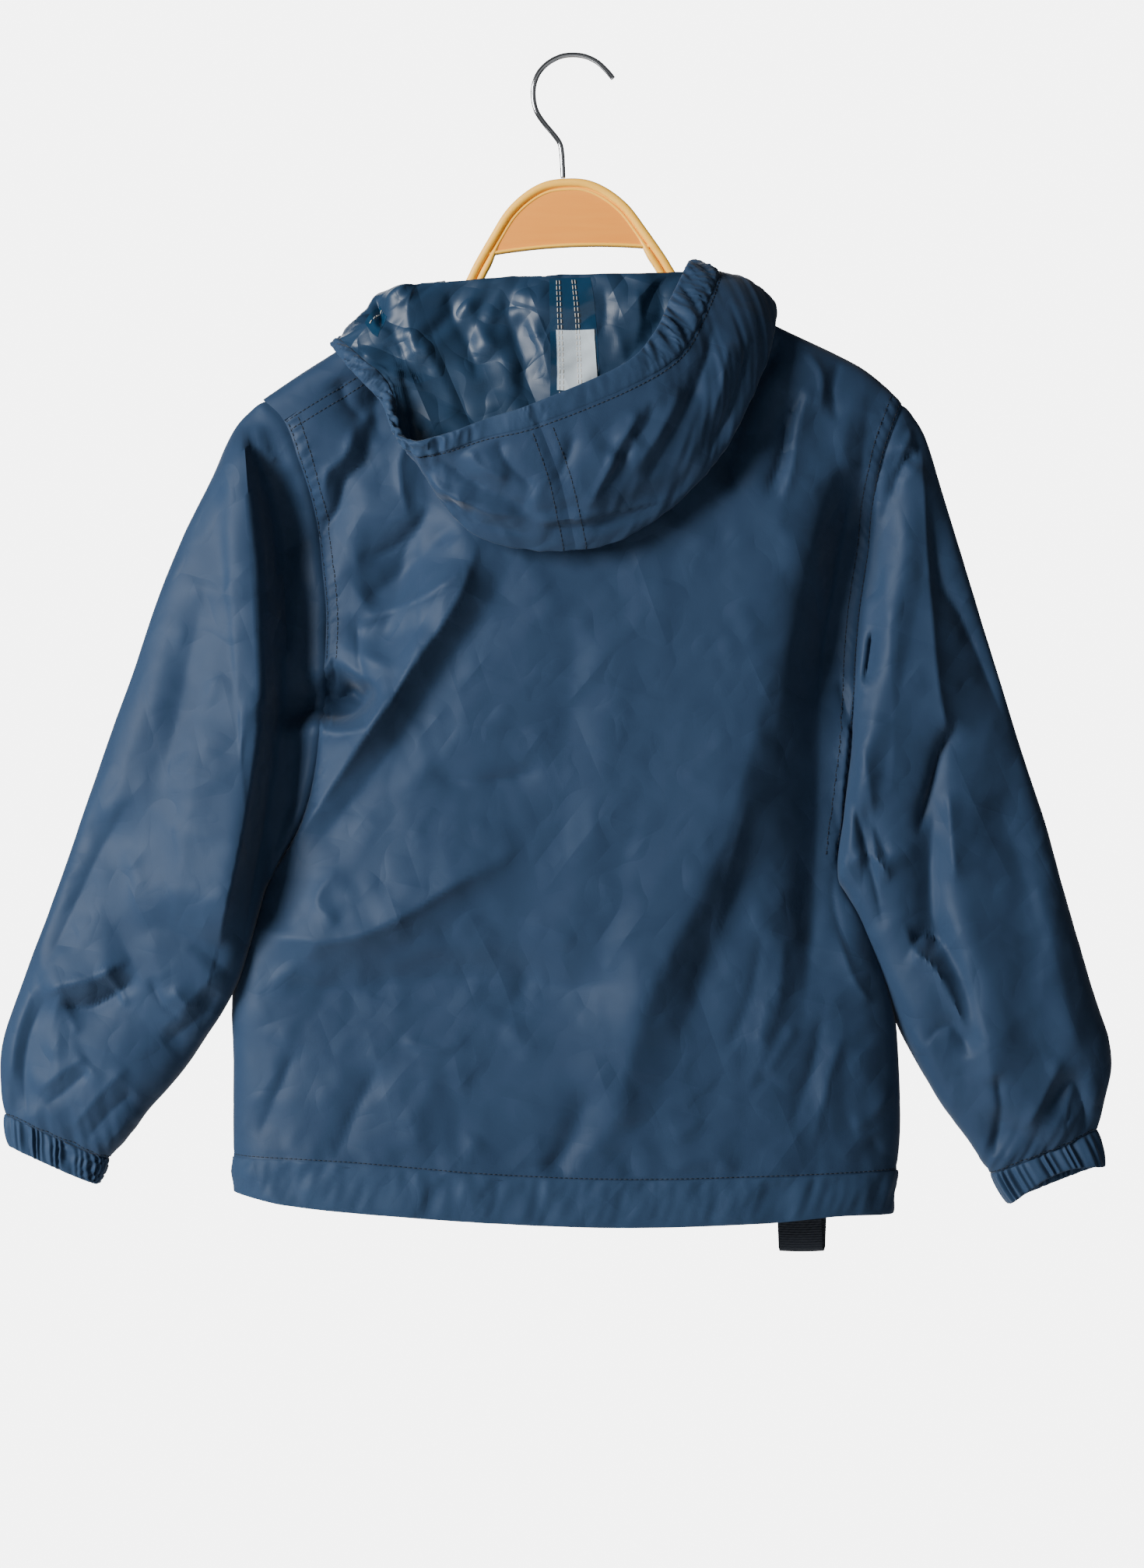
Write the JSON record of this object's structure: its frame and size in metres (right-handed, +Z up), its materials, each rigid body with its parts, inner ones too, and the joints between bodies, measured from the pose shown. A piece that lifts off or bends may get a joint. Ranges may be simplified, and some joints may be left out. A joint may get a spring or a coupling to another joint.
{
  "type": "windbreaker jacket on a hanger",
  "caption": "Child's hooded windbreaker of thin navy coated nylon with elastic cuffs and hood edge and a full front zip, hung on a shaped wooden hanger with a wire hook.",
  "frame": {"origin": "the inner top of the hanger's wire hook, where it bears on a rail", "axes": "+Z up, -Y towards the viewer of the jacket's back, +X the wearer's right"},
  "size_m": [0.7125, 0.1139, 0.7673],
  "materials": {
    "navy_nylon": "thin coated plain weave with a soft sheen",
    "navy_nylon_casing": "the same cloth folded double over elastic or a hem",
    "coated_seam_tape": "glossy heat-sealed tape",
    "dark_webbing": "ribbed webbing",
    "zip_tape": "woven tape",
    "zip_coil": "nylon coil",
    "painted_zinc": "satin painted casting",
    "pale_beech": "satin lacquer",
    "tan_beech": "satin lacquer",
    "chromed_wire": "polished"
  },
  "bodies": {
    "jacket": {"back_panel": "navy_nylon", "front_left": "navy_nylon", "front_right": "navy_nylon", "sleeve_left": "navy_nylon", "sleeve_right": "navy_nylon", "hood_left": "navy_nylon", "hood_right": "navy_nylon", "hem_back": "navy_nylon_casing", "hem_front_left": "navy_nylon_casing", "hem_front_right": "navy_nylon_casing", "cuff_left": "navy_nylon_casing", "cuff_right": "navy_nylon_casing", "hood_rim": "navy_nylon_casing", "hood_seam_tape": "coated_seam_tape", "hood_side_tape": "coated_seam_tape", "strap_loop": "dark_webbing", "zip_tape_left": "zip_tape", "zip_tape_right": "zip_tape", "zip_chain": "zip_coil", "zip_slider": "painted_zinc", "hanger_frame": "pale_beech", "hanger_panel": "tan_beech", "hanger_hook": "chromed_wire"},
    "pull_tab": {"zip_pull": "painted_zinc"}
  },
  "joints": [
    {"name": "pull_tab_hinge", "type": "hinge", "parent": "jacket", "child": "pull_tab", "pos_m": [-0.006, 0.02571, -0.2275], "axis": [1, 0, 0], "range_deg": [0, 150]}
  ]
}
